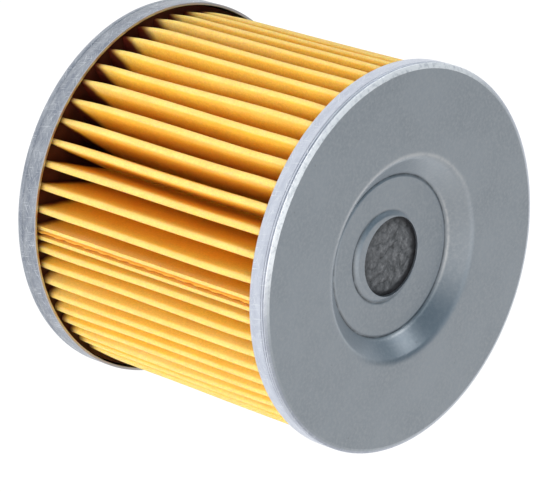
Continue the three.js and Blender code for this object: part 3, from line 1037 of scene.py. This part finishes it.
# %% Valve cage
CAGE_SHEET = 0.6
CAGE_SIDES = 96
CAGE_WALL = 10.7
WINDOW_HEIGHT = 8
DRAIN_RADIUS = 3
cage_low, cage_high = heights("valve_cage")
cage_flange = outer_radius("valve_cage")


def cage_shell():
    """The middle layer of the cage's sheet, from its flange to the drain hole, without the windows."""
    wall, half = CAGE_WALL, CAGE_SHEET / 2
    middle_height = (cage_low + cage_high) / 2
    profile = np.array([
        (cage_flange, cage_high - half),
        (wall + 0.6, cage_high - half),
        (wall + 0.15, cage_high - half - 0.15),
        (wall, cage_high - half - 0.6),
        (wall, middle_height + WINDOW_HEIGHT / 2),
        (wall, middle_height - WINDOW_HEIGHT / 2),
        (wall, cage_low + 1.3),
        (wall - 0.3, cage_low + 0.6),
        (wall - 1.0, cage_low + half),
        (6, cage_low + half),
        (DRAIN_RADIUS, cage_low + half),
    ])
    points = turned(profile, CAGE_SIDES)[0]
    faces = grid_quads(len(profile), CAGE_SIDES, False, True)
    row = np.repeat(np.arange(len(profile) - 1), CAGE_SIDES)
    middle = (np.tile(np.arange(CAGE_SIDES), len(profile) - 1) + 0.5) * 360 / CAGE_SIDES
    in_window = (row == 4) & (np.abs((middle % 90) - 45) < 22.5)
    return points, faces[~in_window]


valve_steel = cloudy_finish(
    "valve_steel", 3, [(0.3, (0.52, 0.52, 0.51)), (0.7, (0.66, 0.66, 0.65))], (0.2, 0.22), 0.5, 0.008,
    metallic=1,
)
points, faces = cage_shell()
cage = add_piece(
    "valve_cage_stamping", points, faces, valve_steel, "element", "valve_cage", crease=50
)
thicken(cage, CAGE_SHEET)

# %% [markdown]
# ## Valve spring
# The spring is a tube swept along a helix. Its first and last turns lie almost flat, because real
# compression springs are closed at both ends so that they stand straight.

# %% Valve spring
SPRING_TURNS = 4.5
WIRE = 0.45
spring_low, spring_high = heights("valve_spring")
coil_radius = outer_radius("valve_spring") - WIRE


def spring_coil():
    share = np.linspace(0, 1, int(SPRING_TURNS * 40) + 1)
    angle = 2 * math.pi * SPRING_TURNS * share
    ease = share**3 * (share * (share * 6 - 15) + 10)
    height = spring_low + WIRE + (spring_high - spring_low - 2 * WIRE) * (0.65 * share + 0.35 * ease)
    centre = np.stack([coil_radius * np.cos(angle), coil_radius * np.sin(angle), height], axis=-1)
    outward = np.stack([np.cos(angle), np.sin(angle), np.zeros_like(angle)], axis=-1)
    turns = np.linspace(0, 2 * math.pi, 14, endpoint=False)
    upward = np.array([0, 0, 1])
    ring = outward[:, None] * np.cos(turns)[:, None] + upward * np.sin(turns)[:, None]
    points = (centre[:, None] + WIRE * ring).reshape(-1, 3)
    faces = grid_quads(len(share), len(turns), False, True).tolist()
    faces.append(list(range(len(turns)))[::-1])
    faces.append([len(points) - len(turns) + step for step in range(len(turns))])
    return points, faces


spring_steel = cloudy_finish(
    "spring_steel", 2, [(0.3, (0.30, 0.30, 0.31)), (0.7, (0.42, 0.42, 0.43))], (0.15, 0.2), 0.25, 0.004,
    metallic=1, detail=3,
)
points, faces = spring_coil()
spring = add_piece(
    "valve_spring_coil", points, faces, spring_steel, "element", "valve_spring", crease=50
)
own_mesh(spring)

# %% [markdown]
# ## Valve plate and rubber seal
# The plate is a stamped cup whose skirt centres the spring. The rubber disc on it is what shows in the
# port: dull, dark and crinkled, because the sheet's edge and hot oil have worked on it. The crinkles are
# real relief in the mesh, made from crossing waves that are bent by each other so that no two are alike.

# %% Valve plate and seal
def crinkle(x, y):
    """Worn relief between -1 and 1, in a repeatable pattern without any figure in it."""
    bent_x = x + 0.9 * np.sin(0.9 * y + 0.4) + 0.35 * np.sin(2.3 * y - x)
    bent_y = y + 0.8 * np.sin(1.1 * x + 1.9) + 0.30 * np.sin(2.9 * x + y)
    ridges = 2 * np.abs(np.sin(0.95 * bent_x + 0.65 * bent_y)) ** 0.5 - 1
    cross = 2 * np.abs(np.sin(1.2 * bent_y - 0.75 * bent_x + 1)) ** 0.5 - 1
    return 0.45 * ridges + 0.35 * cross + 0.2 * np.sin(4.1 * bent_x) * np.sin(4.7 * bent_y)


def seal_disc():
    low, high = heights("valve_seal")
    edge = outer_radius("valve_seal")
    top_rings = [(across, high, 0) for across in np.arange(edge - 0.6, 0.2, -0.13)]
    outline = rounded([(0, low, 0), (edge, low, 0.4), (edge, high, 0.4), *top_rings, (0, high, 0)])
    points, faces = turned(outline, 200)
    across = np.hypot(points[:, 0], points[:, 1])
    worn = (points[:, 2] > high - 0.01) * (1 - smooth_step(across, 6.2, 7.4))
    points[:, 2] -= worn * 0.15 * (1 - crinkle(points[:, 0], points[:, 1]))
    return points, faces


def paint_worn_rubber(tree, shader):
    across = radius_and_height(tree)[0]
    cloud = noise(tree, 1.6, detail=5, roughness=0.65)
    grain = noise(tree, 0.45, detail=4, roughness=0.7)
    crease = add_node(tree, "ShaderNodeAttribute", {"attribute_name": "crease"}).outputs["Fac"]
    # The crinkle height is painted into the colour as well: the hollows of the relief are darker as painted
    # shade, on top of the disc's own mottled tone.
    patchy = maths(tree, "MULTIPLY_ADD", cloud, 0.7, maths(tree, "MULTIPLY_ADD", crease, 0.22, -0.03))
    colour = colour_ramp(tree, patchy, [
        (0.10, (0.025, 0.026, 0.027)),
        (0.35, (0.085, 0.09, 0.097)),
        (0.55, (0.145, 0.15, 0.16)),
        (0.68, (0.27, 0.28, 0.29)),
    ])
    speck = colour_ramp(tree, grain, [(0.36, 0.6), (0.62, 1.1)])
    colour = blend_colours(tree, 1.0, colour, speck, "MULTIPLY")
    # Painted shade: a dark ring at the disc's edge, where the port's wall shades it.
    painted_shade = step_up(tree, across, PORT_RADIUS - 1.0, PORT_RADIUS - 0.2)
    colour = blend_colours(tree, maths(tree, "MULTIPLY", painted_shade, 0.85), colour, (0.012, 0.012, 0.014))
    feed(tree, shader, Base_Color=colour)
    feed(tree, shader, Roughness=maths(tree, "MULTIPLY_ADD", cloud, 0.3, 0.4))
    feed(tree, shader, Normal=bumped(tree, grain, 0.05, bumped(tree, cloud, 0.12)))


PLATE_SHEET = 0.6


def plate_outline():
    low, high = heights("valve_plate")
    edge = outer_radius("valve_plate")
    under = high - PLATE_SHEET
    return rounded([
        (0, under, 0),
        (6.15, under, 0.15),
        (6.15, low, 0.1),
        (6.75, low, 0.1),
        (6.75, under, 0.3),
        (edge, under, 0.1),
        (edge, high, 0.12),
        (0, high, 0),
    ])


points, faces = turned(plate_outline(), 128)
add_piece("valve_plate_stamping", points, faces, valve_steel, "bypass_valve", "valve_plate")
worn_rubber = finish_material("worn_rubber", paint_worn_rubber)
points, faces = seal_disc()
add_piece(
    "valve_seal_disc", points, faces, worn_rubber, "bypass_valve", "valve_seal",
    crease=60, marks={"crease": crinkle(points[:, 0], points[:, 1])},
)
